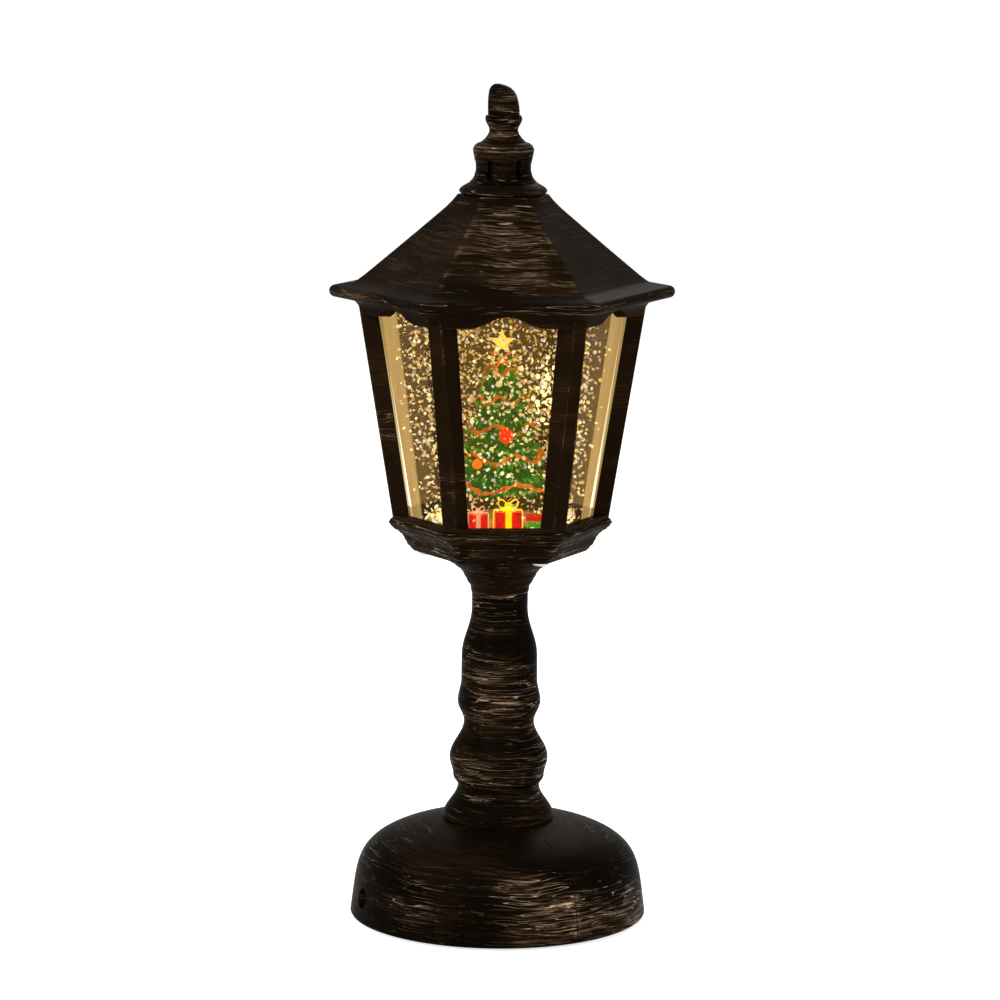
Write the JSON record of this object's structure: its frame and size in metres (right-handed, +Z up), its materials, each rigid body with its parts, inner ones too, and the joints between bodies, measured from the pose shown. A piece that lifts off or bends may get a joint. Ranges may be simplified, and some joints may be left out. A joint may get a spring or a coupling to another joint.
{
  "type": "christmas lantern",
  "caption": "Table lantern on a turned column, with a lit, stirred glitter tank round a small decorated tree.",
  "frame": {"origin": "on the floor, under the middle of the lamp", "axes": "+Z up; -Y is the front, square to one window; two of the lantern's corners lie along X; +X is right seen from the front"},
  "size_m": [0.1066, 0.0922, 0.26],
  "materials": {
    "brushed_bronze": "black-brown moulded plastic with dry-brushed copper highlights",
    "black_plastic": "moulded, fine texture",
    "foot_foam": "soft foam",
    "clear_acrylic": "clear, polished",
    "glitter_water": "clear liquid with floating glitter",
    "seal_rubber": "smooth",
    "snow_white": "matt white",
    "bark_brown": "matt paint",
    "needle_green": "matt paint",
    "star_yellow": "gloss paint",
    "red_gloss": "gloss paint",
    "orange_gloss": "gloss paint",
    "gold_gloss": "gloss paint",
    "gift_red": "satin paint",
    "gift_green": "satin paint",
    "ribbon_yellow": "satin paint",
    "ribbon_white": "satin paint",
    "steel": "plated",
    "magnet_grey": "ground grey magnet",
    "white_nylon": "moulded",
    "board_green": "lacquered circuit board",
    "light_lens": "clear lens",
    "cell_jacket": "plain printed jacket",
    "wire_red": "insulated wire",
    "wire_black": "insulated wire"
  },
  "bodies": {
    "root": {"finial": "brushed_bronze", "finial_screw": "steel", "chimney_vent": "brushed_bronze", "roof": "brushed_bronze", "lantern_frame": "brushed_bronze", "tank": "clear_acrylic", "tank_fill_plug": "seal_rubber", "tank_base": "clear_acrylic", "tank_gasket": "seal_rubber", "glitter_water": "glitter_water", "scene_ground": "snow_white", "tree_trunk": "bark_brown", "tree_foliage": "needle_green", "tree_star": "star_yellow", "bauble_front": "red_gloss", "bauble_left": "orange_gloss", "bauble_right": "gold_gloss", "bauble_side": "red_gloss", "gift_centre": "gift_red", "gift_centre_ribbon": "ribbon_yellow", "gift_left": "gift_red", "gift_left_ribbon": "ribbon_white", "gift_right": "gift_green", "gift_right_lid": "gift_red", "impeller_pin": "steel", "motor_can": "steel", "light_board": "board_green", "light_1": "light_lens", "light_2": "light_lens", "light_3": "light_lens", "tray": "brushed_bronze", "tray_screw_1": "steel", "tray_screw_2": "steel", "tray_screw_3": "steel", "post_half_left": "brushed_bronze", "post_half_right": "brushed_bronze", "wire_red": "wire_red", "wire_black": "wire_black", "base_plate": "black_plastic", "battery_1": "cell_jacket", "battery_2": "cell_jacket", "battery_3": "cell_jacket", "contact_plate_front": "steel", "contact_plate_rear": "steel", "control_board": "board_green", "switch_body": "steel", "dc_jack": "black_plastic", "base_screw_1": "steel", "base_screw_2": "steel", "base_screw_3": "steel", "base_screw_4": "steel", "foot_ring": "foot_foam"},
    "impeller": {"impeller": "white_nylon", "impeller_magnet": "magnet_grey"},
    "motor_rotor": {"motor_shaft": "steel", "drive_disc": "white_nylon", "drive_magnet": "magnet_grey"},
    "switch_knob": {"switch_knob": "white_nylon"},
    "battery_door": {"battery_door": "black_plastic"},
    "door_screw": {"door_screw": "steel"}
  },
  "joints": [
    {"name": "motor_spin", "type": "hinge", "parent": "root", "child": "motor_rotor", "pos_m": [0, 0, 0.1189], "axis": [0, 0, 1], "continuous": true},
    {"name": "impeller_spin", "type": "hinge", "parent": "root", "child": "impeller", "pos_m": [0, 0, 0.1233], "axis": [0, 0, 1], "continuous": true},
    {"name": "switch_slide", "type": "slide", "parent": "root", "child": "switch_knob", "axis": [0, 1, 0], "range_m": [0, 0.003]},
    {"name": "battery_door_hinge", "type": "hinge", "parent": "root", "child": "battery_door", "pos_m": [0, -0.02755, 0.0015], "axis": [-1, 0, 0], "range_deg": [0, 80]},
    {"name": "door_screw_turn", "type": "hinge", "parent": "battery_door", "child": "door_screw", "pos_m": [0, 0.03115, 0.0003], "axis": [0, 0, 1], "continuous": true}
  ],
  "couplings": [
    {"joint": "impeller_spin", "follows": "motor_spin", "ratio": 1}
  ]
}
